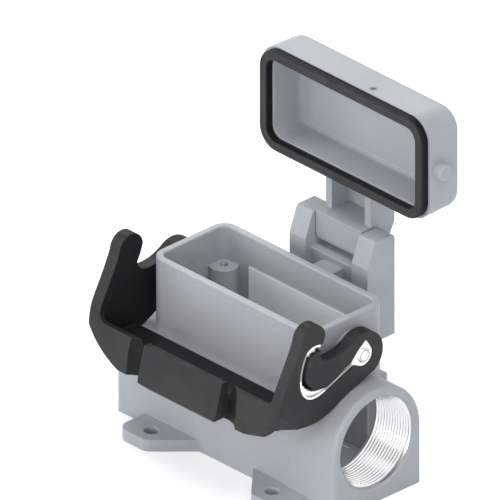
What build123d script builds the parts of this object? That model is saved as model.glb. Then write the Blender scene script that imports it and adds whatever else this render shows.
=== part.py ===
"""Surface-mount connector housing with a hinged cover and a U-shaped locking lever.

Frame: X along the housing toward the cable entry, Y toward the hinge tower, Z up.
The origin is the centre of the four foot holes on the mounting plane.
"""
from build123d import *
import os

os.makedirs("parts", exist_ok=True)

# Base of the housing
base_left = 61.0
base_half_width = 22.2
shoulder_height = 41.5
base_wall = 3.5
floor_thickness = 4.0
base_corner = 1.5
recess_length = 92.0
recess_width = 34.0
recess_depth = 1.2

# Collar that takes the contact insert
collar_length = 90.0
collar_width = 40.5
collar_corner = 6.5
collar_wall = 3.0
collar_root = 2.0
rim_height = 74.0
rim_edge = 0.4

# Pillars for the insert screws, and the seat panels between them
screw_span_x = 77.5
screw_span_y = 27.0
pillar_radius = 5.8
pillar_below_rim = 14.7
screw_core_radius = 1.65
screw_depth = 12.0
panel_half_length = 28.0
panel_below_rim = 12.7
panel_proud = 0.9

# Cable entry
boss_start = 36.0
boss_blend = 7.0
boss_end = 61.0
boss_wall = 4.0
entry_height = 25.5
entry_radius = 19.19
entry_depth = 21.5
entry_chamfer = 0.8

# Feet
foot_span_x = 67.0
foot_span_y = 60.0
foot_hole_radius = 2.8
foot_countersink = 0.3
foot_thickness = 5.0
foot_beyond_hole_x = 11.5
foot_beyond_hole_y = 7.3
foot_tip_from_hole = 4.0
foot_inner_from_hole = 18.5
foot_corner = 5.0

# Cover, its seal and its hinge
cover_length = 93.5
cover_width = 44.6
cover_corner = 9.5
cover_depth = 20.35
cover_back_wall = 2.2
cover_back_round = 4.0
cover_draft = 1.5
hollow_round = 2.0
seal_gap = 0.3
seal_proud = 3.3
seal_depth = 1.0
seal_end_inset = 1.4
seal_side_inset = 0.5
seal_corner = 9.0
seal_width = 4.1
hinge_behind_collar = 22.75
hinge_ahead = 4.6
pin_radius = 1.75
pin_clearance = 0.05
arm_half_width = 12.5
arm_wall = 3.3
arm_front_ahead = 0.3
arm_depth = 12.6
knuckle_forward = 5.6
knuckle_below = 7.6
knuckle_above = 5.7
knuckle_round = 3.0
peg_radius = 3.4
peg_from_seal = 8.3
peg_edge = 0.5
dimple_x = 11.3
dimple_from_front = 3.6
dimple_radius = 1.1
dimple_depth = 0.8

# Hinge tower
tower_half_width = 21.7
arm_clearance = 0.4
tower_ahead = 10.8
tower_behind = 3.6
tower_above = 5.1
tilt_below = 5.6
tilt_depth = 4.0
shelf_below = 9.6
shelf_inset = 2.4
shelf_thickness = 4.0
tower_wall = 3.2
bracket_thickness = 4.4
rib_half_width = 5.2
rib_drop = 14.0

# Locking lever
lever_side_clearance = 1.35
arm_thickness = 5.4
lever_edge_round = 4.5
lever_front = 46.0
lever_wall = 3.6
pivot_below_rim = 13.0
stud_radius = 3.0
stud_clearance = 0.05
stud_proud = 0.4
press_clearance = 0.01
leaf_thickness = 0.9
leaf_margin = 0.3
leaf_inset = 0.3
leaf_ring_outer = 4.4
leaf_ring_tip = 0.7
pocket_depth = 4.0
pad_radius = 7.5
pad_gap = 0.3
bar_top_below = 8.2
bar_bottom_below = 24.0
web_below = 19.2
web_behind_wall = 2.1
web_thickness = 2.4
window_round = 4.0
corner_run = 19.5
corner_rise = 16.5
corner_slope = 1.0
grip_half_length = 21.6
grip_proud = 1.6
grip_drop = 1.6
grip_corner = 4.5
scoop_radius = 10.0
scoop_depth = 2.3
lever_inner_round = 2.0

collar_inner_x = collar_length / 2 - collar_wall
collar_inner_y = collar_width / 2 - collar_wall
cavity_left = base_left - base_wall
cavity_right = boss_end - entry_depth
cavity_half_width = base_half_width - base_wall
cavity_top = shoulder_height - base_wall
pillar_top = rim_height - pillar_below_rim
boss_radius = entry_radius + boss_wall
hinge_y = collar_width / 2 + hinge_behind_collar
hinge_z = rim_height + seal_gap + hinge_ahead
seal_plane_y = hinge_y - hinge_ahead
cover_low = hinge_z + hinge_y - cover_width / 2
cover_mid = cover_low + cover_width / 2
cover_back_y = seal_plane_y + cover_depth
arm_front_y = hinge_y - arm_front_ahead
arm_back_y = arm_front_y + arm_depth
seal_length = cover_length - 2 * seal_end_inset
seal_height = cover_width - 2 * seal_side_inset
metal_front_y = seal_plane_y + seal_proud
peg_y = seal_plane_y + peg_from_seal
tower_front = hinge_y - tower_ahead
tower_back = hinge_y + tower_behind
tower_top = hinge_z + tower_above
tower_bottom = shoulder_height - 1.1
tower_gap_half = arm_half_width + arm_clearance
shelf_height = hinge_z - shelf_below
shelf_front = tower_front + shelf_inset
pivot_height = rim_height - pivot_below_rim
lever_inner_half = cover_length / 2 + lever_side_clearance
lever_half_width = lever_inner_half + arm_thickness
peg_reach = lever_inner_half + 2.3
bar_top = pivot_height - bar_top_below
bar_bottom = pivot_height - bar_bottom_below
web_bottom = pivot_height - web_below
profile_size = lever_front / 46.0


def side_plane(x):
    """Plane across X whose origin is the lever's pivot."""
    return Plane(origin=(x, 0, pivot_height), x_dir=(0, 1, 0), z_dir=(1, 0, 0))


def drawn(points):
    """Points of the lever's profile, which grow with its reach."""
    return [(y * profile_size, z * profile_size) for y, z in points]


# Housing, one casting
with BuildPart() as base_body:
    with BuildSketch(Plane.XY):
        with Locations(((boss_start + boss_blend - base_left) / 2, 0)):
            Rectangle(base_left + boss_start + boss_blend, 2 * base_half_width)
    extrude(amount=shoulder_height)
    left_edges = base_body.edges().filter_by(Axis.Z).sort_by(Axis.X)[:2]
    fillet(left_edges, radius=base_corner)
    fillet(base_body.faces().sort_by(Axis.Z)[-1].edges().sort_by(Axis.X)[:5], radius=1.2)

with BuildPart() as entry_boss:
    with BuildSketch(Plane.YZ.offset(boss_start)) as boss_outline:
        with Locations((0, entry_height)):
            Circle(boss_radius)
        with Locations((0, entry_height / 2)):
            Rectangle(2 * boss_radius, entry_height)
    extrude(amount=boss_end - boss_start)
    end_face = entry_boss.faces().sort_by(Axis.X)[-1]
    fillet(end_face.edges().sort_by(Axis.Z)[1:], radius=1.8)
    with BuildSketch(Plane.YZ.offset(boss_start - boss_blend)):
        with Locations((0, entry_height)):
            Circle(base_half_width - 0.1)
        with Locations((0, entry_height / 2)):
            Rectangle(2 * base_half_width - 0.2, entry_height)
    add(boss_outline.sketch)
    loft()

with BuildPart() as collar_body:
    with BuildSketch(Plane.XY.offset(floor_thickness)):
        RectangleRounded(collar_length, collar_width, collar_corner)
    extrude(amount=rim_height - floor_thickness)

with BuildPart() as shell:
    add(base_body.part)
    add(collar_body.part)
    root_edges = (
        shell.edges()
        .filter_by_position(Axis.Z, shoulder_height - 0.01, shoulder_height + 0.01)
        .filter_by_position(Axis.Y, -collar_width / 2 - 0.01, collar_width / 2 + 0.01)
        .filter_by_position(Axis.X, -collar_length / 2 - 0.01, boss_start)
    )
    fillet(root_edges, radius=collar_root)
    add(entry_boss.part)

with BuildPart() as foot:
    with BuildSketch(Plane.XY):
        with BuildLine():
            Polyline(
                (foot_span_x / 2 + foot_beyond_hole_x, -base_half_width + 2),
                (foot_span_x / 2 + foot_beyond_hole_x, -foot_span_y / 2 - foot_beyond_hole_y),
                (foot_span_x / 2 - foot_tip_from_hole, -foot_span_y / 2 - foot_beyond_hole_y),
                (foot_span_x / 2 - foot_inner_from_hole, -base_half_width),
                (foot_span_x / 2 - foot_inner_from_hole, -base_half_width + 2),
                close=True,
            )
        make_face()
    extrude(amount=foot_thickness)
    tip_edges = foot.edges().filter_by(Axis.Z).group_by(Axis.Y)[0]
    fillet(tip_edges, radius=foot_corner)
    with Locations((foot_span_x / 2, -foot_span_y / 2, 0)):
        Cylinder(foot_hole_radius, 3 * foot_thickness, mode=Mode.SUBTRACT)
    with Locations((foot_span_x / 2, -foot_span_y / 2, foot_thickness - foot_countersink / 2)):
        Cone(foot_hole_radius, foot_hole_radius + foot_countersink, foot_countersink, mode=Mode.SUBTRACT)

with BuildPart() as tower_cheeks:
    with BuildSketch(Plane.YZ.offset(-tower_half_width)):
        with BuildLine():
            Polyline(
                (tower_front, tower_bottom),
                (tower_front, hinge_z - tilt_below),
                (tower_front + tilt_depth, tower_top),
                (tower_back, tower_top),
                (tower_back, tower_bottom),
                close=True,
            )
        make_face()
    extrude(amount=2 * tower_half_width)
    top_edges = tower_cheeks.edges().filter_by(Axis.X).sort_by(Axis.Z)[-2:]
    fillet(top_edges, radius=1.6)
    with BuildSketch(Plane.YZ.offset(-tower_gap_half)):
        with Locations(((tower_front + tower_back) / 2, (tower_bottom + tower_top) / 2)):
            Rectangle(tower_back - tower_front + 8, tower_top - tower_bottom + 8)
    extrude(amount=2 * tower_gap_half, mode=Mode.SUBTRACT)

with BuildPart() as tower_middle:
    with BuildSketch(Plane.YZ.offset(-tower_gap_half - 0.5)):
        with BuildLine():
            Polyline(
                (shelf_front, tower_bottom),
                (shelf_front, shelf_height),
                (tower_back, shelf_height),
                (tower_back, shelf_height - shelf_thickness),
                (shelf_front + tower_wall, shelf_height - shelf_thickness),
                (shelf_front + tower_wall, tower_bottom + bracket_thickness),
                (tower_back, tower_bottom + bracket_thickness),
                (tower_back, tower_bottom),
                close=True,
            )
        make_face()
    extrude(amount=2 * tower_gap_half + 1)

with BuildPart() as bracket:
    with BuildSketch(Plane.XY.offset(tower_bottom)):
        with Locations((0, (base_half_width + tower_front) / 2)):
            Rectangle(2 * tower_half_width, tower_front - base_half_width + 4)
    extrude(amount=bracket_thickness)
    with BuildSketch(Plane.YZ.offset(-rib_half_width)):
        with BuildLine():
            Polyline(
                (collar_width / 2 - 1, tower_bottom - rib_drop),
                (base_half_width + 1, tower_bottom - rib_drop),
                (tower_front + 6, tower_bottom + 1),
                (shelf_front + 1, tower_bottom + 1),
                (shelf_front + 1, shelf_height - 2.5),
                (collar_width / 2 - 1, shelf_height - 2.5),
                close=True,
            )
        make_face()
    extrude(amount=2 * rib_half_width)

with BuildPart() as pivot_pads:
    with BuildSketch(side_plane(-lever_inner_half + pad_gap)):
        Circle(pad_radius)
    extrude(amount=2 * (lever_inner_half - pad_gap))

with BuildPart() as cavity:
    with BuildSketch(Plane.XY.offset(floor_thickness)):
        with Locations(((cavity_right - cavity_left) / 2, 0)):
            RectangleRounded(cavity_left + cavity_right, 2 * cavity_half_width, 4)
    extrude(amount=cavity_top - floor_thickness)
    with BuildSketch(Plane.XY.offset(cavity_top - 1)):
        RectangleRounded(2 * collar_inner_x, 2 * collar_inner_y, collar_corner - collar_wall)
    extrude(amount=rim_height - cavity_top + 2)

with BuildPart() as seat:
    with BuildSketch(Plane.XY.offset(cavity_top - 4)):
        with GridLocations(screw_span_x, screw_span_y, 2, 2):
            Circle(pillar_radius)
    extrude(amount=pillar_top - cavity_top + 4)
    with BuildSketch(Plane.XY.offset(cavity_top - 2)):
        with GridLocations(0, 2 * collar_inner_y, 1, 2):
            Rectangle(2 * panel_half_length, 2 * panel_proud)
    extrude(amount=rim_height - panel_below_rim - cavity_top + 2)

with BuildPart() as housing:
    add(shell.part)
    add(foot.part)
    add(foot.part.mirror(Plane.YZ))
    add(foot.part.mirror(Plane.XZ))
    add(foot.part.mirror(Plane.YZ).mirror(Plane.XZ))
    add(bracket.part)
    add(tower_cheeks.part)
    add(tower_middle.part)
    add(pivot_pads.part)
    add(cavity.part, mode=Mode.SUBTRACT)
    add(seat.part)
    with BuildSketch(Plane.YZ.offset(boss_end)):
        with Locations((0, entry_height)):
            Circle(entry_radius)
    extrude(amount=-entry_depth, mode=Mode.SUBTRACT)
    with Locations(Location((boss_end - entry_chamfer / 2, 0, entry_height), (0, 90, 0))):
        Cone(entry_radius, entry_radius + entry_chamfer, entry_chamfer, mode=Mode.SUBTRACT)
    with BuildSketch(Plane.XY.offset(pillar_top)):
        with GridLocations(screw_span_x, screw_span_y, 2, 2):
            Circle(screw_core_radius)
    extrude(amount=-screw_depth, mode=Mode.SUBTRACT)
    with BuildSketch(Plane.XY):
        RectangleRounded(recess_length, recess_width, 4)
    extrude(amount=recess_depth, mode=Mode.SUBTRACT)
    with BuildSketch(Plane.YZ.offset(-tower_half_width - 1)):
        with Locations((hinge_y, hinge_z)):
            Circle(pin_radius + press_clearance)
    extrude(amount=2 * tower_half_width - 2, mode=Mode.SUBTRACT)
    with BuildSketch(side_plane(-lever_inner_half)):
        Circle(stud_radius + press_clearance)
    extrude(amount=2 * lever_inner_half, mode=Mode.SUBTRACT)
    rim_edges = housing.faces().filter_by(Axis.Z).sort_by(Axis.Z).filter_by_position(
        Axis.Z, rim_height - 0.01, rim_height + 0.01
    )[0].edges()
    chamfer(rim_edges, length=rim_edge)

housing.part.label = "housing"
export_step(housing.part, "parts/housing.step")

# Cover with its hinge arm
with BuildPart() as cover_shell:
    with BuildSketch(Plane.XZ.offset(-metal_front_y)):
        with Locations((0, cover_mid)):
            RectangleRounded(cover_length, cover_width, cover_corner)
    extrude(amount=-(cover_back_y - metal_front_y), taper=cover_draft)
    back_face = cover_shell.faces().sort_by(Axis.Y)[-1]
    fillet(back_face.edges(), radius=cover_back_round)

with BuildPart() as cover_arm:
    with BuildSketch(Plane.YZ.offset(-arm_half_width)):
        with BuildLine():
            Polyline(
                (hinge_y - knuckle_forward, hinge_z - knuckle_below),
                (hinge_y - knuckle_forward, hinge_z + knuckle_above),
                (arm_front_y, hinge_z + knuckle_above),
                (arm_front_y, cover_low + 2),
                (arm_back_y, cover_low + 2),
                (arm_back_y, hinge_z + 4),
                (arm_back_y - 6, hinge_z - knuckle_below),
                close=True,
            )
        make_face()
    extrude(amount=2 * arm_half_width)
    low_edges = cover_arm.edges().filter_by(Axis.X).group_by(Axis.Z)[0]
    fillet(low_edges, radius=knuckle_round)

with BuildPart() as arm_hollow:
    with BuildSketch(Plane.YZ.offset(-arm_half_width + arm_wall)):
        with BuildLine():
            Polyline(
                (arm_front_y - 1, hinge_z + knuckle_above - 0.01),
                (arm_front_y - 1, cover_low - 0.01),
                (arm_back_y - arm_wall, cover_low - 0.01),
                (arm_back_y - arm_wall, hinge_z + knuckle_above - 0.01),
                close=True,
            )
        make_face()
    extrude(amount=2 * (arm_half_width - arm_wall))

with BuildPart() as cover_hollow:
    with BuildSketch(Plane.XZ.offset(-metal_front_y)):
        with Locations((0, cover_mid)):
            RectangleRounded(
                seal_length - 2 * seal_width, seal_height - 2 * seal_width, seal_corner - seal_width
            )
    extrude(amount=-(cover_depth - seal_proud - cover_back_wall), taper=2 * cover_draft)
    fillet(cover_hollow.faces().sort_by(Axis.Y)[-1].edges(), radius=hollow_round)

with BuildPart() as seal_ring:
    with BuildSketch(Plane.XZ.offset(-seal_plane_y)):
        with Locations((0, cover_mid)):
            RectangleRounded(seal_length, seal_height, seal_corner)
            RectangleRounded(
                seal_length - 2 * seal_width,
                seal_height - 2 * seal_width,
                seal_corner - seal_width,
                mode=Mode.SUBTRACT,
            )
    extrude(amount=-(seal_depth + seal_proud))

with BuildPart() as cover_pegs:
    with BuildSketch(Plane.YZ.offset(-peg_reach)):
        with Locations((peg_y, cover_mid)):
            Circle(peg_radius)
    extrude(amount=2 * peg_reach)
    chamfer(cover_pegs.edges().filter_by(GeomType.CIRCLE), length=peg_edge)
    with BuildSketch(Plane.YZ.offset(-cover_length / 2 + 1)):
        with Locations((peg_y, cover_mid)):
            Circle(2 * peg_radius)
    extrude(amount=cover_length - 2, mode=Mode.SUBTRACT)

with BuildPart() as cover:
    add(cover_shell.part)
    add(cover_arm.part)
    add(arm_hollow.part, mode=Mode.SUBTRACT)
    add(cover_hollow.part, mode=Mode.SUBTRACT)
    add(seal_ring.part, mode=Mode.SUBTRACT)
    add(cover_pegs.part)
    with BuildSketch(Plane.XY.offset(cover_low + cover_width)):
        with Locations((dimple_x, metal_front_y + dimple_from_front)):
            Circle(dimple_radius)
    extrude(amount=-dimple_depth, mode=Mode.SUBTRACT)
    with BuildSketch(Plane.YZ.offset(-arm_half_width - 1)):
        with Locations((hinge_y, hinge_z)):
            Circle(pin_radius + pin_clearance)
    extrude(amount=2 * arm_half_width + 2, mode=Mode.SUBTRACT)

cover.part.label = "cover"
export_step(cover.part, "parts/cover.step")

seal_ring.part.label = "cover_seal"
export_step(seal_ring.part, "parts/cover_seal.step")

# Locking lever
with BuildPart() as lever_side:
    with BuildSketch(side_plane(-lever_half_width)):
        with BuildLine():
            front = Spline(drawn((
                (-46.6, -24.0), (-46.0, -17.0), (-44.6, -8.6), (-42.4, -2.0), (-39.2, 4.2), (-35.9, 10.6),
                (-33.0, 17.2),
            )))
            horn = ThreePointArc(front @ 1, *drawn(((-26.9, 22.9), (-20.6, 16.8))))
            hook = Polyline(horn @ 1, *drawn(((-21.6, 13.7), (-23.6, 9.6))))
            floor = Spline(hook @ 1, *drawn(((-22.6, 7.2), (-20.6, 5.6), (-17.0, 5.0), (-12.8, 5.3), (-6.0, 8.0))))
            top = ThreePointArc(floor @ 1, *drawn(((7.07, 7.07), (10.0, 0.0))))
            back = ThreePointArc(top @ 1, *drawn(((8.66, -5.0), (5.3, -8.5))))
            under = Spline(back @ 1, *drawn((
                (-4.9, -11.9), (-10.0, -13.8), (-15.5, -16.6), (-24.5, -19.7), (-32.0, -19.6), (-38.0, -18.8),
            )))
            Polyline(
                under @ 1,
                (-lever_front + lever_wall, web_bottom - pivot_height + 0.6),
                (-lever_front + lever_wall, -bar_bottom_below * profile_size),
                front @ 0,
            )
        make_face()
    extrude(amount=2 * lever_half_width)

with BuildPart() as lever_plan:
    with BuildSketch(Plane.XY.offset(bar_bottom - 6)):
        with Locations((0, (30 - lever_front) / 2 - 0.5)):
            Rectangle(2 * lever_half_width, 31 + lever_front)
    extrude(amount=rim_height)
    front_corners = lever_plan.edges().filter_by(Axis.Z).group_by(Axis.Y)[0]
    fillet(front_corners, radius=lever_edge_round)
    with BuildSketch(Plane.XY.offset(bar_bottom - 6)) as lever_plan_inner:
        with Locations((0, (40 - lever_front + lever_wall) / 2)):
            Rectangle(2 * lever_inner_half, 40 + lever_front - lever_wall)
        inner_corners = lever_plan_inner.vertices().group_by(Axis.Y)[0]
        fillet(inner_corners, radius=lever_inner_round)
    extrude(amount=rim_height, mode=Mode.SUBTRACT)

with BuildPart() as front_window:
    with BuildSketch(Plane.XZ.offset(base_half_width)):
        with Locations((0, bar_top + rim_height / 2)):
            RectangleRounded(2 * lever_inner_half, rim_height, window_round)
    extrude(amount=lever_front)

with BuildPart() as lever_web:
    with BuildSketch(Plane.XY.offset(web_bottom)):
        with Locations((0, -(lever_front - 1.5 + base_half_width + web_behind_wall) / 2)):
            Rectangle(2 * lever_inner_half + 2, lever_front - 1.5 - base_half_width - web_behind_wall)
    extrude(amount=web_thickness)

with BuildPart() as lower_corner:
    with BuildSketch(Plane.XZ.offset(lever_front + 1)):
        with BuildLine():
            bend = ThreePointArc(
                (lever_half_width - corner_run, bar_bottom),
                (lever_half_width - 0.44 * corner_run, bar_bottom + 0.38 * corner_rise),
                (lever_half_width, bar_bottom + corner_rise),
            )
            Polyline(
                bend @ 1,
                (lever_half_width + 3, bar_bottom + corner_rise),
                (lever_half_width + 3, bar_bottom - 9),
                (lever_half_width - corner_run, bar_bottom - 9),
                bend @ 0,
            )
        make_face()
    extrude(amount=16, dir=(0, 1, -corner_slope))

with BuildPart() as scoops:
    with BuildSketch(Plane.XY.offset(bar_bottom - 6)):
        with Locations(
            (grip_half_length + 1, -lever_front - scoop_radius + scoop_depth),
            (-grip_half_length - 1, -lever_front - scoop_radius + scoop_depth),
        ):
            Circle(scoop_radius)
    extrude(amount=30, dir=(0, 0.08, 1))

with BuildPart() as lever_grip:
    with BuildSketch(side_plane(-grip_half_length)):
        with BuildLine():
            Polyline(
                (-lever_front - grip_proud - 1.6, -bar_bottom_below + 1.0),
                (-lever_front - grip_proud + 2.4, -bar_top_below),
                (-lever_front + lever_wall, -bar_top_below),
                (-lever_front + lever_wall, -bar_bottom_below - grip_drop + 2),
                (-lever_front - 0.6, -bar_bottom_below - grip_drop),
                close=True,
            )
        make_face()
    extrude(amount=2 * grip_half_length)
    with BuildSketch(Plane.XZ.offset(base_half_width)) as grip_outline:
        with Locations((0, (bar_top + bar_bottom - grip_drop) / 2)):
            Rectangle(2 * grip_half_length, bar_top - bar_bottom + grip_drop)
        low_corners = grip_outline.vertices().group_by(Axis.Y)[0]
        fillet(low_corners, radius=grip_corner)
    extrude(amount=lever_front, mode=Mode.INTERSECT)

with BuildPart() as arm_pocket:
    with BuildSketch(side_plane(lever_half_width - pocket_depth)) as pocket_sketch:
        with BuildLine():
            outer = Spline(drawn((
                (-22.6, 13.4), (-26.4, 14.0), (-30.0, 12.6), (-32.6, 8.4), (-34.0, 2.6), (-33.2, -4.4), (-29.8, -8.5),
                (-24.6, -9.4), (-19.6, -8.0), (-12.0, -5.0), (-4.4, -2.2),
            )))
            turn = Line(outer @ 1, drawn(((-4.4, -0.2),))[0])
            inner = Spline(turn @ 1, *drawn((
                (-12.4, -3.1), (-19.4, -6.0), (-24.6, -5.8), (-28.2, -3.6), (-30.8, 1.0), (-30.4, 6.0), (-28.6, 9.6),
                (-26.0, 10.8), (-22.6, 10.9),
            )))
            Polyline(inner @ 1, *drawn(((-20.6, 10.9), (-20.6, 13.4))), outer @ 0)
        make_face()
    extrude(amount=pocket_depth + 1)

with BuildPart() as eye_pocket:
    with BuildSketch(side_plane(lever_half_width - pocket_depth)):
        Circle(leaf_ring_outer)
        with Locations(*drawn(((1.0, 5.4), (-6.0, -1.0)))):
            Circle(leaf_ring_tip)
        make_hull()
        offset(amount=stud_clearance + 0.1)
    extrude(amount=pocket_depth + 1)

with BuildPart() as eye_holes:
    with BuildSketch(side_plane(-lever_half_width - 1)):
        Circle(leaf_ring_outer + stud_clearance)
    extrude(amount=2 * lever_half_width + 2)

with BuildPart() as lever:
    add(lever_side.part)
    add(lever_plan.part, mode=Mode.INTERSECT)
    add(front_window.part, mode=Mode.SUBTRACT)
    add(lever_web.part)
    add(lower_corner.part, mode=Mode.SUBTRACT)
    add(lower_corner.part.mirror(Plane.YZ), mode=Mode.SUBTRACT)
    add(scoops.part, mode=Mode.SUBTRACT)
    add(lever_grip.part)
    add(arm_pocket.part, mode=Mode.SUBTRACT)
    add(arm_pocket.part.mirror(Plane.YZ), mode=Mode.SUBTRACT)
    add(eye_pocket.part, mode=Mode.SUBTRACT)
    add(eye_pocket.part.mirror(Plane.YZ), mode=Mode.SUBTRACT)
    add(eye_holes.part, mode=Mode.SUBTRACT)

lever.part.label = "lever"
export_step(lever.part, "parts/lever.step")

# Leaf springs, each with a pointed eye round its stud
with BuildPart() as leaf:
    with BuildSketch(side_plane(lever_half_width - pocket_depth + leaf_inset)):
        with BuildLine() as leaf_line:
            add(outer)
        trace(line_width=2 * (leaf_margin + leaf_thickness))
        with BuildLine():
            add(leaf_line.line)
        trace(line_width=2 * leaf_margin, mode=Mode.SUBTRACT)
        add(pocket_sketch.sketch_local, mode=Mode.INTERSECT)
    extrude(amount=pocket_depth - 2 * leaf_inset)
    with BuildSketch(side_plane(lever_half_width - pocket_depth + leaf_inset)):
        Circle(leaf_ring_outer)
        with Locations(*drawn(((1.0, 5.4), (-6.0, -1.0)))):
            Circle(leaf_ring_tip)
        make_hull()
    extrude(amount=pocket_depth - 2 * leaf_inset)
    with BuildSketch(side_plane(lever_inner_half + leaf_inset)):
        Circle(leaf_ring_outer)
    extrude(amount=arm_thickness - 2 * leaf_inset)
    with BuildSketch(side_plane(lever_inner_half)):
        Circle(stud_radius + stud_clearance)
    extrude(amount=lever_half_width, mode=Mode.SUBTRACT)

leaf.part.label = "lever_leaf_right"
export_step(leaf.part, "parts/lever_leaf_right.step")
leaf_left = leaf.part.mirror(Plane.YZ)
leaf_left.label = "lever_leaf_left"
export_step(leaf_left, "parts/lever_leaf_left.step")

# Lever studs and hinge pin
with BuildPart() as stud:
    with BuildSketch(side_plane(collar_inner_x)):
        Circle(stud_radius)
    extrude(amount=lever_half_width + stud_proud - collar_inner_x)
    chamfer(stud.faces().sort_by(Axis.X)[-1].edges(), length=0.4)

stud.part.label = "lever_stud_right"
export_step(stud.part, "parts/lever_stud_right.step")
stud_left = stud.part.mirror(Plane.YZ)
stud_left.label = "lever_stud_left"
export_step(stud_left, "parts/lever_stud_left.step")

with BuildPart() as hinge_pin:
    with BuildSketch(Plane.YZ.offset(-tower_half_width + 0.4)):
        with Locations((hinge_y, hinge_z)):
            Circle(pin_radius)
    extrude(amount=2 * tower_half_width - 3.6)
    chamfer(hinge_pin.edges().filter_by(GeomType.CIRCLE), length=0.3)

hinge_pin.part.label = "hinge_pin"
export_step(hinge_pin.part, "parts/hinge_pin.step")
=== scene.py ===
"""Looks of a surface-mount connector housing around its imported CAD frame.

Metres, in the CAD's own frame: X along the housing toward the cable entry, Y toward the hinge tower, Z up.
"""
import math

import bmesh
import bpy
from mathutils import Matrix, Vector


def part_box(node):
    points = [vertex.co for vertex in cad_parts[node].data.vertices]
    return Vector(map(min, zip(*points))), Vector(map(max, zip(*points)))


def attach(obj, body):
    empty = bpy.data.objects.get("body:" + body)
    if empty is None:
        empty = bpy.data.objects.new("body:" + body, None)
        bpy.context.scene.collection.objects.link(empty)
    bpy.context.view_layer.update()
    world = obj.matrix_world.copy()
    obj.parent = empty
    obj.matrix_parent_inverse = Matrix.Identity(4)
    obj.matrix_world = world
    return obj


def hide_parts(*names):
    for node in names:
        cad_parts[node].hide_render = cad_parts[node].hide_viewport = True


MM = 0.001
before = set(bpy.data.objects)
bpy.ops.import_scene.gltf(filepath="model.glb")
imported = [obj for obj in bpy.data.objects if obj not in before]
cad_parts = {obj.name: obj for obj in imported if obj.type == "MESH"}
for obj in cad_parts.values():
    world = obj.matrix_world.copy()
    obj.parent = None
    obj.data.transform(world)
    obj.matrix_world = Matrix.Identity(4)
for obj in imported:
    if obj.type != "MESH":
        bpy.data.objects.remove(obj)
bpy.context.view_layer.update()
scene = bpy.context.scene
scene.view_settings.view_transform = "Standard"

# ---------------------------------------------------------------- camera
VIEW_AZIMUTH = 46.3
VIEW_ELEVATION = 28.8
VIEW_WIDTH = 192.3 * MM
VIEW_TARGET = Vector((-4.8, -5.0, 86.0)) * MM
CAMERA_DISTANCE = 0.9
CAMERA_CLIP = (0.01, 20.0)


def look_from(thing, azimuth, elevation, distance, target):
    """Stands a camera or lamp off a target, azimuth degrees from the front toward the entry end, and aims it."""
    a, e = math.radians(azimuth), math.radians(elevation)
    back = Vector((math.sin(a) * math.cos(e), -math.cos(a) * math.cos(e), math.sin(e)))
    thing.rotation_mode = "QUATERNION"
    thing.rotation_quaternion = (-back).to_track_quat("-Z", "Y")
    thing.location = target + back * distance


def make_camera():
    data = bpy.data.cameras.new("camera")
    data.type = "ORTHO"
    data.ortho_scale = VIEW_WIDTH
    data.clip_start, data.clip_end = CAMERA_CLIP
    camera = bpy.data.objects.new("camera", data)
    scene.collection.objects.link(camera)
    look_from(camera, VIEW_AZIMUTH, VIEW_ELEVATION, CAMERA_DISTANCE, VIEW_TARGET)
    scene.camera = camera


make_camera()

# ---------------------------------------------------------------- places on the CAD that the looks refer to
# the collar's seat panels, painted near white as painted light: half their length, their top and their distance from
# the middle
PANEL_HALF = 28.0 * MM
PANEL_TOP = 61.3 * MM
PANEL_FACE = 16.35 * MM
PANEL_MARGIN = 0.05 * MM
PANEL_FACE_MARGIN = 0.3 * MM

# the joint under the middle of the hinge tower, where its shadow line is painted as painted shade
JOINT_HALF = 12.8 * MM
JOINT_FRONT = 35.4 * MM
JOINT_BOTTOM = 69.4 * MM
JOINT_TOP = 70.75 * MM

# the dimple on the cover's upper side, and the painted shade of a dish round it
DIMPLE = Vector((11.3, 45.3, 143.9)) * MM
DISH_RIM = 2.5 * MM
DISH_CORE = 1.2 * MM

# the finger scoops beside the lever's grip: the foot of the right one's axis, and how far it leans back
SCOOP_CENTRE = Vector((22.6, -53.7, 31.0)) * MM
SCOOP_RADIUS = 10.15 * MM
SCOOP_LEAN = 0.08
SCOOP_START = 21.65 * MM

# the lever's pivot, its studs and the leaf springs' strip
PIVOT = Vector((0.0, 0.0, 61.0)) * MM
EYE_REACH = 6.4 * MM
STUD_BARE = 47.0 * MM
STUD_RING_INNER = 2.075 * MM
STUD_RING_OUTER = 2.4 * MM
FOOT_TOP = 62.0 * MM
FOOT_BACK = -20.5 * MM
TIP_BOTTOM = 72.6 * MM

# the cable entry's bore, and the heights between which the painted shade at its thread's root deepens
ENTRY_MOUTH = Vector((60.2, 0.0, 25.5)) * MM
ENTRY_RADIUS = 19.19 * MM
ROOT_SHADE_START = 17.5 * MM
ROOT_SHADE_FULL = 11.5 * MM


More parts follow.
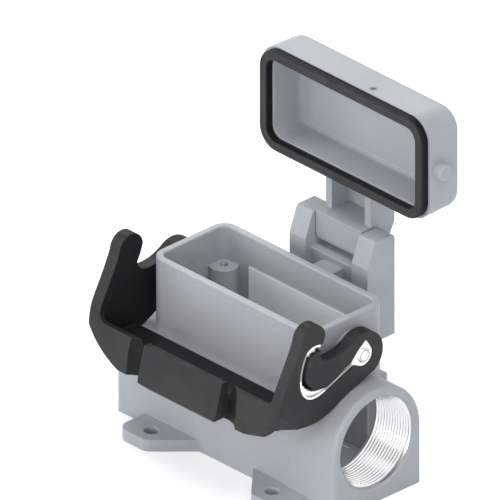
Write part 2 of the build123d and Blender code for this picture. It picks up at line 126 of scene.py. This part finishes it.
# ---------------------------------------------------------------- node helpers
class Nodes:
    """A short way to write the node tree of a material or a world."""

    def __init__(self, owner, output="ShaderNodeOutputMaterial"):
        self.owner = owner
        owner.use_nodes = True
        self.tree = owner.node_tree
        self.tree.nodes.clear()
        self.output = self.add(output)

    def add(self, kind, settings=None, **inputs):
        """A new node; an input's name has an underscore for each space."""
        made = self.tree.nodes.new(kind)
        for key, value in (settings or {}).items():
            setattr(made, key, value)
        for key, value in inputs.items():
            self.put(made.inputs[key.replace("_", " ")], value)
        return made

    def put(self, socket, value):
        """Links a socket to another, or sets its number or colour."""
        if isinstance(value, bpy.types.NodeSocket):
            self.tree.links.new(value, socket)
        else:
            socket.default_value = value

    def math(self, operation, a, b=0.0):
        made = self.add("ShaderNodeMath", {"operation": operation})
        self.put(made.inputs[0], a)
        self.put(made.inputs[1], b)
        return made.outputs[0]

    def times(self, first, *others):
        """The product of two or more numbers."""
        for other in others:
            first = self.math("MULTIPLY", first, other)
        return first

    def vector_math(self, operation, a, b):
        made = self.add("ShaderNodeVectorMath", {"operation": operation})
        self.put(made.inputs[0], a)
        self.put(made.inputs[1], b)
        return made.outputs["Vector" if operation == "MULTIPLY" else "Value"]

    def where(self):
        """The object's own coordinates, which are the CAD's."""
        return self.add("ShaderNodeTexCoord").outputs["Object"]

    def parts(self, vector):
        """The X, Y and Z of a vector."""
        return tuple(self.add("ShaderNodeSeparateXYZ", Vector=vector).outputs)

    def reach(self, axis_point):
        """Distance from an axis that runs along X through a point."""
        return self.vector_math("DISTANCE", self.vector_math("MULTIPLY", self.where(), (0, 1, 1)), axis_point)

    def noise(self, size_mm, detail, roughness=0.5, stretch=None):
        """Noise whose features are about size_mm across."""
        where = self.where()
        if stretch:
            where = self.add("ShaderNodeMapping", Vector=where, Scale=stretch).outputs[0]
        made = self.add("ShaderNodeTexNoise", Vector=where, Scale=1 / (size_mm * MM), Detail=detail,
                        Roughness=roughness)
        return made.outputs["Fac"]

    def ramp(self, value, low, high, to_low=0.0, to_high=1.0):
        """A smooth step from to_low to to_high while value goes from low to high."""
        made = self.add("ShaderNodeMapRange", {"interpolation_type": "SMOOTHSTEP"})
        self.put(made.inputs["Value"], value)
        for key, number in (("From Min", low), ("From Max", high), ("To Min", to_low), ("To Max", to_high)):
            self.put(made.inputs[key], number)
        return made.outputs["Result"]

    def above(self, value, level, soft_mm):
        """0 below a level and 1 above it, with a soft step of soft_mm on each side."""
        return self.ramp(value, level - soft_mm * MM, level + soft_mm * MM)

    def below(self, value, level, soft_mm):
        """1 below a level and 0 above it, with a soft step of soft_mm on each side."""
        return self.ramp(value, level + soft_mm * MM, level - soft_mm * MM)

    def blend(self, amount, a, b):
        made = self.add("ShaderNodeMix", {"data_type": "RGBA"})
        self.put(made.inputs[0], amount)
        self.put(made.inputs[6], a)
        self.put(made.inputs[7], b)
        return made.outputs[2]

    def drift(self, noise, a, b):
        """A colour that drifts between two with a noise."""
        return self.blend(self.ramp(noise, 0.35, 0.65), a, b)

    def vary(self, noise, low, high):
        """A number that drifts between two with a noise."""
        return self.ramp(noise, 0.3, 0.7, low, high)

    def bump(self, height, depth_mm, strength, normal=None):
        made = self.add("ShaderNodeBump", Height=height, Distance=depth_mm * MM, Strength=strength)
        if normal is not None:
            self.put(made.inputs["Normal"], normal)
        return made.outputs[0]

    def edge(self, radius_mm):
        """A mask near 1 on sharp edges and 0 on flat faces, and the normal of the rounded edges."""
        rounded = self.add("ShaderNodeBevel", {"samples": 6}, Radius=radius_mm * MM).outputs[0]
        flat = self.add("ShaderNodeNewGeometry").outputs["True Normal"]
        return self.ramp(self.vector_math("DOT_PRODUCT", rounded, flat), 0.99, 0.80), rounded

    def finish(self, shader):
        self.tree.links.new(shader.outputs[0], self.output.inputs["Surface"])
        return self.owner


def new_material(name):
    return Nodes(bpy.data.materials.new(name))


def srgb(red, green, blue):
    """A colour as it is seen on a screen, 0 to 255, for a shader socket."""
    def linear(c):
        c /= 255
        return c / 12.92 if c <= 0.04045 else ((c + 0.055) / 1.055) ** 2.4
    return (linear(red), linear(green), linear(blue), 1.0)


# ---------------------------------------------------------------- masks
def painted_light_panel_mask(n):
    """Painted light: the seat panels on the collar's two long inner walls, painted near white so they look lit."""
    x, y, z = n.parts(n.where())
    along = n.math("LESS_THAN", n.math("ABSOLUTE", x), PANEL_HALF + PANEL_MARGIN)
    low = n.math("LESS_THAN", z, PANEL_TOP + PANEL_MARGIN)
    across = n.math("COMPARE", n.math("ABSOLUTE", y), PANEL_FACE)
    across.node.inputs[2].default_value = PANEL_FACE_MARGIN
    return n.times(along, low, across)


def joint_shadow_mask(n):
    """Painted shade: the shadow line in the joint under the middle of the hinge tower."""
    x, y, z = n.parts(n.where())
    along = n.math("LESS_THAN", n.math("ABSOLUTE", x), JOINT_HALF)
    behind = n.math("GREATER_THAN", y, JOINT_FRONT)
    return n.times(along, behind, n.above(z, JOINT_BOTTOM, 0.1), n.below(z, JOINT_TOP, 0.15))


def dimple_mask(n):
    """Painted shade of a dish round the dimple on the cover's upper side."""
    return n.ramp(n.vector_math("DISTANCE", n.where(), DIMPLE), DISH_RIM, DISH_CORE, 0.0, 0.55)


def lit_faces_mask(n):
    """Painted light and shade: near 1 on the lever's front and outer sides, painted lighter as if lit, and 0 on its
    other faces and in its scoops, painted darker as shade.
    """
    turn = n.add("ShaderNodeVectorTransform",
                 {"vector_type": "NORMAL", "convert_from": "WORLD", "convert_to": "OBJECT"},
                 Vector=n.add("ShaderNodeNewGeometry").outputs["True Normal"])
    facing_x, facing_y, _ = n.parts(turn.outputs[0])
    sideways = n.times(facing_x, n.math("SIGN", n.parts(n.where())[0]))
    forward = n.times(facing_y, -1.0)
    facing_out = n.ramp(n.math("MAXIMUM", sideways, forward), 0.35, 0.65)
    return n.times(facing_out, n.math("SUBTRACT", 1.0, scoop_mask(n)))


def scoop_mask(n):
    """The finger scoops beside the lever's grip, which get painted shade: two leaning cylinders, cut off at the grip.
    """
    x, y, z = n.parts(n.where())
    side = n.math("ABSOLUTE", x)
    across = n.math("SUBTRACT", side, SCOOP_CENTRE.x)
    lean = n.times(n.math("SUBTRACT", z, SCOOP_CENTRE.z), SCOOP_LEAN)
    ahead = n.math("SUBTRACT", n.math("SUBTRACT", y, SCOOP_CENTRE.y), lean)
    reach = n.math("SQRT", n.math("ADD", n.times(across, across), n.times(ahead, ahead)))
    return n.times(n.math("LESS_THAN", reach, SCOOP_RADIUS), n.math("GREATER_THAN", side, SCOOP_START))


def sheared_mask(n):
    """The spring strip's narrow sheared edge: where it looks along X, away from the eye, the foot and the tip."""
    facing = n.parts(n.add("ShaderNodeNewGeometry").outputs["True Normal"])[0]
    _, y, z = n.parts(n.where())
    off_foot = n.math("MAXIMUM", n.above(z, FOOT_TOP, 0.6), n.above(y, FOOT_BACK, 0.8))
    narrow = n.times(n.above(n.reach(PIVOT), EYE_REACH, 0.5), off_foot, n.below(z, TIP_BOTTOM, 0.4))
    return n.times(n.ramp(n.math("ABSOLUTE", facing), 0.93, 0.97), narrow)


def root_shade_mask(n):
    """Painted shade at the root of the entry's thread, by the distance from its axis, most of it low down."""
    root = n.above(n.reach(Vector((0, 0, ENTRY_MOUTH.z))), ENTRY_RADIUS - 0.25 * MM, 0.2)
    return n.times(root, n.ramp(n.parts(n.where())[2], ROOT_SHADE_START, ROOT_SHADE_FULL, 0.25, 0.7))


# ---------------------------------------------------------------- materials
def coated(n, colour, rough, normal, specular):
    """Ends a material that isn't bare metal."""
    shader = n.add("ShaderNodeBsdfPrincipled", Base_Color=colour, Roughness=rough, Normal=normal)
    shader.inputs["Specular IOR Level"].default_value = specular
    return n.finish(shader)


def casting_material(name, pale=None, shade=None):
    """Light grey coat on die-cast metal, its sharp edges painted lighter as painted highlight; pale masks an area
    painted near white as painted light, and shade one painted darker as painted shade.
    """
    n = new_material(name)
    edge_highlight, rounded = n.edge(0.5)
    colour = n.drift(n.noise(38, detail=2), srgb(176, 180, 185), srgb(182, 186, 191))
    speck = n.ramp(n.noise(0.9, detail=3, roughness=0.6), 0.42, 0.75, 0.0, 0.35)
    colour = n.blend(speck, colour, srgb(164, 168, 174))
    # painted light: the masked area painted near white
    if pale:
        colour = n.blend(pale(n), colour, srgb(250, 255, 252))
    # painted shade: the masked area painted darker
    if shade:
        colour = n.blend(shade(n), colour, srgb(112, 116, 122))
    # painted highlight: sharp edges painted lighter, as if they caught the light
    colour = n.blend(n.times(edge_highlight, 0.6), colour, srgb(222, 225, 228))
    normal = n.bump(n.noise(1.6, detail=1), 0.03, 0.35, rounded)
    normal = n.bump(n.noise(0.35, detail=2), 0.012, 0.5, normal)
    return coated(n, colour, n.vary(n.noise(2.2, detail=3), 0.42, 0.55), normal, 0.35)


def plastic_material():
    """Black moulded plastic: its front and outer sides painted greyer as painted light, its other faces and its scoops
    darker as painted shade.
    """
    n = new_material("moulded_plastic")
    edge_highlight, rounded = n.edge(0.6)
    lit_face_colour = n.drift(n.noise(24, detail=2), srgb(53, 53, 54), srgb(59, 59, 59))
    # painted light and shade: faces looking to the front and sides lighter, the rest and the scoops darker
    colour = n.blend(lit_faces_mask(n), srgb(33, 33, 34), lit_face_colour)
    # painted highlight: sharp edges painted a little lighter
    colour = n.blend(n.times(edge_highlight, 0.3), colour, srgb(84, 84, 83))
    normal = n.bump(n.noise(0.5, detail=2), 0.02, 0.5, rounded)
    return coated(n, colour, n.vary(n.noise(3.0, detail=3), 0.46, 0.6), normal, 0.15)


def rubber_material():
    """Black rubber; the band's flanks and the middle of its groove, marked on its own points, are painted darker as
    painted shade.
    """
    n = new_material("moulded_rubber")
    flank_shade = n.add("ShaderNodeAttribute", {"attribute_name": "flank_shade"}).outputs["Fac"]
    colour = n.drift(n.noise(16, detail=2), srgb(60, 61, 62), srgb(68, 68, 69))
    colour = n.blend(n.ramp(n.noise(0.6, detail=3), 0.55, 0.8, 0.0, 0.5), colour, srgb(80, 80, 80))
    # painted shade: the flanks and the groove's middle painted darker
    colour = n.blend(flank_shade, colour, srgb(24, 25, 27))
    normal = n.bump(n.noise(0.4, detail=2), 0.015, 0.4)
    return coated(n, colour, n.vary(n.noise(2.0, detail=2), 0.55, 0.7), normal, 0.15)


def brushed(n, stretch, low, high):
    """Fine lines of rolled or turned metal: their noise, and a colour that follows it."""
    lines = n.noise(1.0, detail=4, roughness=0.7, stretch=stretch)
    return lines, n.drift(lines, low, high)


def metal(n, lines, colour, rough, metallic):
    """Ends a metal material."""
    return n.finish(n.add("ShaderNodeBsdfPrincipled", Base_Color=colour, Metallic=metallic, Roughness=rough,
                          Normal=n.bump(lines, 0.01, 0.25)))


def steel_material(name, low, high, roughness, stretch, metallic=1.0):
    n = new_material(name)
    lines, colour = brushed(n, stretch, low, high)
    return metal(n, lines, colour, n.vary(lines, *roughness), metallic)


def strip_material():
    """Bright rolled spring strip with a duller sheared edge."""
    n = new_material("spring_strip")
    lines, colour = brushed(n, (0.3, 5.0, 5.0), srgb(240, 240, 239), srgb(254, 254, 253))
    colour = n.blend(sheared_mask(n), colour, srgb(158, 159, 157))
    return metal(n, lines, colour, n.vary(lines, 0.22, 0.34), 0.85)


def stud_material():
    """Turned steel with a dark ring of painted shade on its head, and the housing's own coat on the end that sits in
    its wall.
    """
    n = new_material("turned_stud")
    lines, colour = brushed(n, (1.0, 6.0, 6.0), srgb(214, 215, 216), srgb(240, 240, 240))
    reach = n.reach(PIVOT)
    # painted shade: a dark ring on the head stands in for the shadow of a turned groove
    ring = n.times(n.above(reach, STUD_RING_INNER, 0.125), n.below(reach, STUD_RING_OUTER, 0.1), 0.8)
    colour = n.blend(ring, colour, srgb(92, 94, 95))
    bare = n.above(n.math("ABSOLUTE", n.parts(n.where())[0]), STUD_BARE, 0.3)
    colour = n.blend(bare, srgb(174, 178, 183), colour)
    return metal(n, lines, colour, n.ramp(bare, 0.0, 1.0, 0.5, 0.28), bare)


def thread_material():
    """Bright machined thread with painted shade at its root."""
    n = new_material("machined_thread")
    lines, colour = brushed(n, (8.0, 1.0, 1.0), srgb(244, 245, 246), srgb(254, 254, 254))
    # painted shade in the thread's root, deeper low down
    colour = n.blend(root_shade_mask(n), colour, srgb(96, 98, 100))
    return metal(n, lines, colour, n.vary(lines, 0.12, 0.22), 1.0)


HOUSING = casting_material("coated_housing", painted_light_panel_mask, joint_shadow_mask)
COVER = casting_material("coated_cover", shade=dimple_mask)
PLASTIC = plastic_material()
RUBBER = rubber_material()
TURNED = steel_material("turned_steel", srgb(196, 197, 198), srgb(226, 227, 228), (0.22, 0.36), (1.0, 6.0, 6.0))
SPRING = strip_material()
STUD = stud_material()
THREAD = thread_material()
TAPPED = steel_material("tapped_metal", srgb(150, 152, 154), srgb(176, 178, 180), (0.4, 0.55), (2.0, 2.0, 2.0), 0.6)

for name, material in {
    "housing": HOUSING, "cover": COVER, "cover_seal": RUBBER, "hinge_pin": TURNED, "lever": PLASTIC,
    "lever_leaf_right": SPRING, "lever_leaf_left": SPRING, "lever_stud_right": STUD, "lever_stud_left": STUD,
}.items():
    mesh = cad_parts[name].data
    mesh.materials.clear()
    mesh.materials.append(material)


# ---------------------------------------------------------------- pieces
CORNERS = ((1, 1), (-1, 1), (-1, -1), (1, -1))


def new_piece(name, mesh_builder, material, body):
    """Makes one smooth mesh piece from a bmesh builder and rides it on a body."""
    mesh = bpy.data.meshes.new(name)
    shape = bmesh.new()
    mesh_builder(shape)
    bmesh.ops.recalc_face_normals(shape, faces=shape.faces)
    shape.to_mesh(mesh)
    shape.free()
    for polygon in mesh.polygons:
        polygon.use_smooth = True
    mesh.materials.append(material)
    piece = bpy.data.objects.new(name, mesh)
    scene.collection.objects.link(piece)
    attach(piece, body)
    return piece


def join_rings(shape, rings, closed):
    """Faces between neighbouring rings of vertices; an open run gets its two ends filled."""
    pairs = zip(rings, rings[1:] + rings[:1]) if closed else zip(rings, rings[1:])
    for a, b in pairs:
        for i in range(len(a)):
            j = (i + 1) % len(a)
            shape.faces.new((a[i], a[j], b[j], b[i]))
    if not closed:
        shape.faces.new(rings[0])
        shape.faces.new(rings[-1])


# a thread's section, as shares of its pitch along the bore and of its depth up from the wall
THREAD_SECTION = ((0.01, 0.0), (0.46, 1.0), (0.54, 1.0), (0.99, 0.0))
THREAD_BACKING = 0.05 * MM
THREAD_RUN_OUT = 0.3
THREAD_THIN_END = 0.02


def thread_sleeve(shape, place, radius, pitch, depth, length, steps):
    """A helical ridge, steps segments a turn, on the wall of a bore that runs down from place.

    It sinks THREAD_BACKING into the wall, and each end runs out over THREAD_RUN_OUT of a turn.
    """
    segments = int(length / pitch) * steps
    run_out = THREAD_RUN_OUT * steps
    rings = []
    for step in range(segments + 1):
        angle = 2 * math.pi * step / steps
        height = max(THREAD_THIN_END, min(1.0, step / run_out, (segments - step) / run_out))
        ring = []
        for along, up in THREAD_SECTION:
            r = radius + THREAD_BACKING - (depth + THREAD_BACKING) * up * height
            ring.append(shape.verts.new((r * math.cos(angle), r * math.sin(angle),
                                         -pitch * (step / steps + along))))
        rings.append(ring)
    join_rings(shape, rings, closed=False)
    shape.verts.index_update()
    for edge in shape.edges:  # the edges that run along the helix stay sharp
        a, b = (point.index // len(THREAD_SECTION) for point in edge.verts)
        edge.smooth = a == b
    bmesh.ops.transform(shape, matrix=place, verts=shape.verts)


ENTRY_PITCH = 1.5 * MM
ENTRY_THREAD_DEPTH = 0.7 * MM
ENTRY_THREAD_LENGTH = 20.4 * MM
ENTRY_STEPS = 144

entry_place = Matrix.Translation(ENTRY_MOUTH) @ Matrix.Rotation(math.pi / 2, 4, "Y")
new_piece("entry_thread",
          lambda shape: thread_sleeve(shape, entry_place, ENTRY_RADIUS, ENTRY_PITCH, ENTRY_THREAD_DEPTH,
                                      ENTRY_THREAD_LENGTH, ENTRY_STEPS),
          THREAD, "base")

SCREW_SPAN = Vector((77.5, 27.0)) * MM
SCREW_THREAD_TOP = 59.1 * MM
SCREW_RADIUS = 1.65 * MM
SCREW_PITCH = 0.7 * MM
SCREW_THREAD_DEPTH = 0.3 * MM
SCREW_THREAD_LENGTH = 8.0 * MM
SCREW_STEPS = 32

for number, (side, end) in enumerate(CORNERS, 1):
    screw_place = Matrix.Translation((side * SCREW_SPAN.x / 2, end * SCREW_SPAN.y / 2, SCREW_THREAD_TOP))
    new_piece(f"insert_thread_{number}",
              lambda shape: thread_sleeve(shape, screw_place, SCREW_RADIUS, SCREW_PITCH, SCREW_THREAD_DEPTH,
                                          SCREW_THREAD_LENGTH, SCREW_STEPS),
              TAPPED, "base")

SEAL_CORNER = 9.0 * MM
SEAL_WIDTH = 4.1 * MM
SEAL_OUTER_LIP = 0.9 * MM
SEAL_INNER_LIP = 0.6 * MM
SEAL_LIP_STEPS = 6
SEAL_CORNER_STEPS = 10
# the shallow groove along the seal's face: share of the width, depth and how much painted shade the point gets
SEAL_GROOVE = ((0.42, 0.0, 0.0), (0.5, 0.12 * MM, 0.25), (0.58, 0.0, 0.0))


def rounded_outline(half_length, half_height, corner, steps):
    """Points round a rounded rectangle, the same count whatever its size."""
    points = []
    for quarter, (side, end) in enumerate(CORNERS):
        for step in range(steps + 1):
            angle = math.pi / 2 * (quarter + step / steps)
            points.append((side * (half_length - corner) + corner * math.cos(angle),
                           end * (half_height - corner) + corner * math.sin(angle)))
    return points


def lip(radius):
    """A rounded lip from flank to face: inset, distance behind the face, and painted shade from 1 on the flank to 0 on
    the face.
    """
    points = []
    for step in range(SEAL_LIP_STEPS + 1):
        angle = math.pi / 2 * step / SEAL_LIP_STEPS
        points.append((radius * (1 - math.cos(angle)), radius * (1 - math.sin(angle)), 1 - step / SEAL_LIP_STEPS))
    return points


def seal_ring(shape, low, high):
    """The cover's seal between two corners: a moulded band with rounded lips and a shallow groove, its painted shade
    marked on its points.
    """
    depth = high.y - low.y
    centre = (low + high) / 2
    half_length, half_height = (high.x - low.x) / 2, (high.z - low.z) / 2
    section = [(0.0, depth, 1.0)] + lip(SEAL_OUTER_LIP)
    section += [(SEAL_WIDTH * share, back, shade_amount) for share, back, shade_amount in SEAL_GROOVE]
    section += [(SEAL_WIDTH - inset, back, shade_amount) for inset, back, shade_amount in reversed(lip(SEAL_INNER_LIP))]
    section.append((SEAL_WIDTH, depth, 1.0))
    flank_shade = shape.verts.layers.float.new("flank_shade")
    loops = []
    for inset, back, shade_amount in section:
        loop = []
        for x, z in rounded_outline(half_length - inset, half_height - inset, SEAL_CORNER - inset,
                                    SEAL_CORNER_STEPS):
            point = shape.verts.new((centre.x + x, low.y + back, centre.z + z))
            # each point keeps how much painted shade it gets
            point[flank_shade] = shade_amount
            loop.append(point)
        loops.append(loop)
    join_rings(shape, loops, closed=True)


seal_low, seal_high = (Vector(corner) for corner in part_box("cover_seal"))
seal = new_piece("seal_band", lambda shape: seal_ring(shape, seal_low, seal_high), RUBBER, "lid")
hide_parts("cover_seal")

# the leaf spring's turned flanks: millimetres behind and above the lever's pivot, along each flank's outer and
# inner side, and how far each side is from the housing's middle plane
BLADE_OUTER = ((-33.1, 1.6), (-32.9, -1.2), (-32.2, -3.9), (-30.9, -6.0), (-29.2, -7.4), (-27.0, -8.1),
               (-24.6, -8.25), (-22.0, -7.7), (-19.9, -6.95), (-16.0, -5.3), (-12.4, -3.95), (-8.6, -2.55),
               (-5.2, -1.3))
BLADE_INNER = ((-32.9, 1.6), (-31.9, -1.4), (-30.5, -2.9), (-28.8, -4.2), (-27.4, -5.1), (-26.0, -5.75),
               (-24.4, -6.1), (-22.0, -6.3), (-19.6, -6.15), (-15.7, -4.6), (-12.2, -3.2), (-8.4, -1.8),
               (-5.0, -0.6))
BLADE_HEIGHTS = (52.9 * MM, 52.4 * MM)
TIP_OUTER = ((-30.3, 11.2), (-29.4, 12.0), (-28.4, 12.6), (-27.4, 12.9), (-26.4, 12.95), (-25.6, 12.9))
TIP_INNER = ((-30.0, 10.7), (-29.2, 10.2), (-28.2, 10.2), (-27.2, 10.6), (-26.3, 11.0), (-25.6, 12.2))
TIP_HEIGHTS = (52.5 * MM, 53.1 * MM)
FLANK_THICKNESS = 0.6 * MM


def leaf_flank(shape, side, outer_path, inner_path, heights):
    """A turned flank of the leaf spring: a thin plate between two paths, each at its own height in the pocket."""
    at_outer, at_inner = heights
    rings = []
    for outer, inner in zip(outer_path, inner_path):
        corners = ((outer, at_outer), (inner, at_inner),
                   (inner, at_inner - FLANK_THICKNESS), (outer, at_outer - FLANK_THICKNESS))
        rings.append([shape.verts.new((side * x, PIVOT.y + y * MM, PIVOT.z + z * MM)) for (y, z), x in corners])
    join_rings(shape, rings, closed=False)


for side, label in ((1, "right"), (-1, "left")):
    for part, *path in (("blade", BLADE_OUTER, BLADE_INNER, BLADE_HEIGHTS), ("tip", TIP_OUTER, TIP_INNER, TIP_HEIGHTS)):
        new_piece(f"leaf_{part}_{label}", lambda shape: leaf_flank(shape, side, *path), SPRING, "bail")


# ---------------------------------------------------------------- floor and light
FLOOR_HALF = 8.0
FLOOR_GLOW = 0.35
WHITE = (1.0, 1.0, 1.0, 1.0)
AMBIENT_COLOUR = (0.93, 0.96, 1.0, 1.0)
AMBIENT_STRENGTH = 0.46


def seen_rays(n):
    """1 for rays that see the surroundings straight, in a reflection or through glass, and 0 for light."""
    rays = n.add("ShaderNodeLightPath").outputs
    seen = n.math("MAXIMUM", rays["Is Camera Ray"], rays["Is Glossy Ray"])
    return n.math("MAXIMUM", seen, rays["Is Transmission Ray"])


def make_floor():
    """A plain floor that looks white and keeps the object's shadow."""
    mesh = bpy.data.meshes.new("floor")
    half = FLOOR_HALF
    mesh.from_pydata([(-half, -half, 0), (half, -half, 0), (half, half, 0), (-half, half, 0)], [], [(0, 1, 2, 3)])
    floor = bpy.data.objects.new("floor", mesh)
    scene.collection.objects.link(floor)
    n = new_material("pale_floor")
    matt = n.add("ShaderNodeBsdfDiffuse", Color=srgb(245, 245, 246), Roughness=0.8)
    glow = n.add("ShaderNodeEmission", Color=WHITE, Strength=n.times(seen_rays(n), FLOOR_GLOW))
    both = n.add("ShaderNodeAddShader")
    n.put(both.inputs[0], matt.outputs[0])
    n.put(both.inputs[1], glow.outputs[0])
    mesh.materials.append(n.finish(both))


def make_world():
    """Soft bluish light from all round, and plain white wherever the surroundings are seen."""
    world = bpy.data.worlds.new("studio")
    scene.world = world
    n = Nodes(world, "ShaderNodeOutputWorld")
    light = n.add("ShaderNodeBackground", Color=AMBIENT_COLOUR, Strength=AMBIENT_STRENGTH)
    white = n.add("ShaderNodeBackground", Color=WHITE, Strength=1.0)
    mix = n.add("ShaderNodeMixShader")
    n.put(mix.inputs[0], seen_rays(n))
    n.put(mix.inputs[1], light.outputs[0])
    n.put(mix.inputs[2], white.outputs[0])
    n.finish(mix)


LAMP_AIM = Vector((0.0, 0.0, 60.0)) * MM
LAMP_DISTANCE = 1.75
LAMP_SIZE = 0.8
# name, azimuth, elevation, watts
LAMPS = (
    ("left", -60, 20, 6.0), ("front", -15, 15, 5.5), ("front_right", 32, 15, 6.0), ("right", 75, 55, 5.5),
    ("top", 0, 85, 4.5), ("back_left", -120, 40, 9.5),
)


def soft_lamp(name, azimuth, elevation, power):
    """A round soft lamp aimed at the object."""
    data = bpy.data.lights.new(name, "AREA")
    data.shape = "DISK"
    data.size = LAMP_SIZE
    data.energy = power
    lamp = bpy.data.objects.new(name, data)
    scene.collection.objects.link(lamp)
    look_from(lamp, azimuth, elevation, LAMP_DISTANCE, LAMP_AIM)


make_floor()
make_world()
for lamp in LAMPS:
    soft_lamp(*lamp)
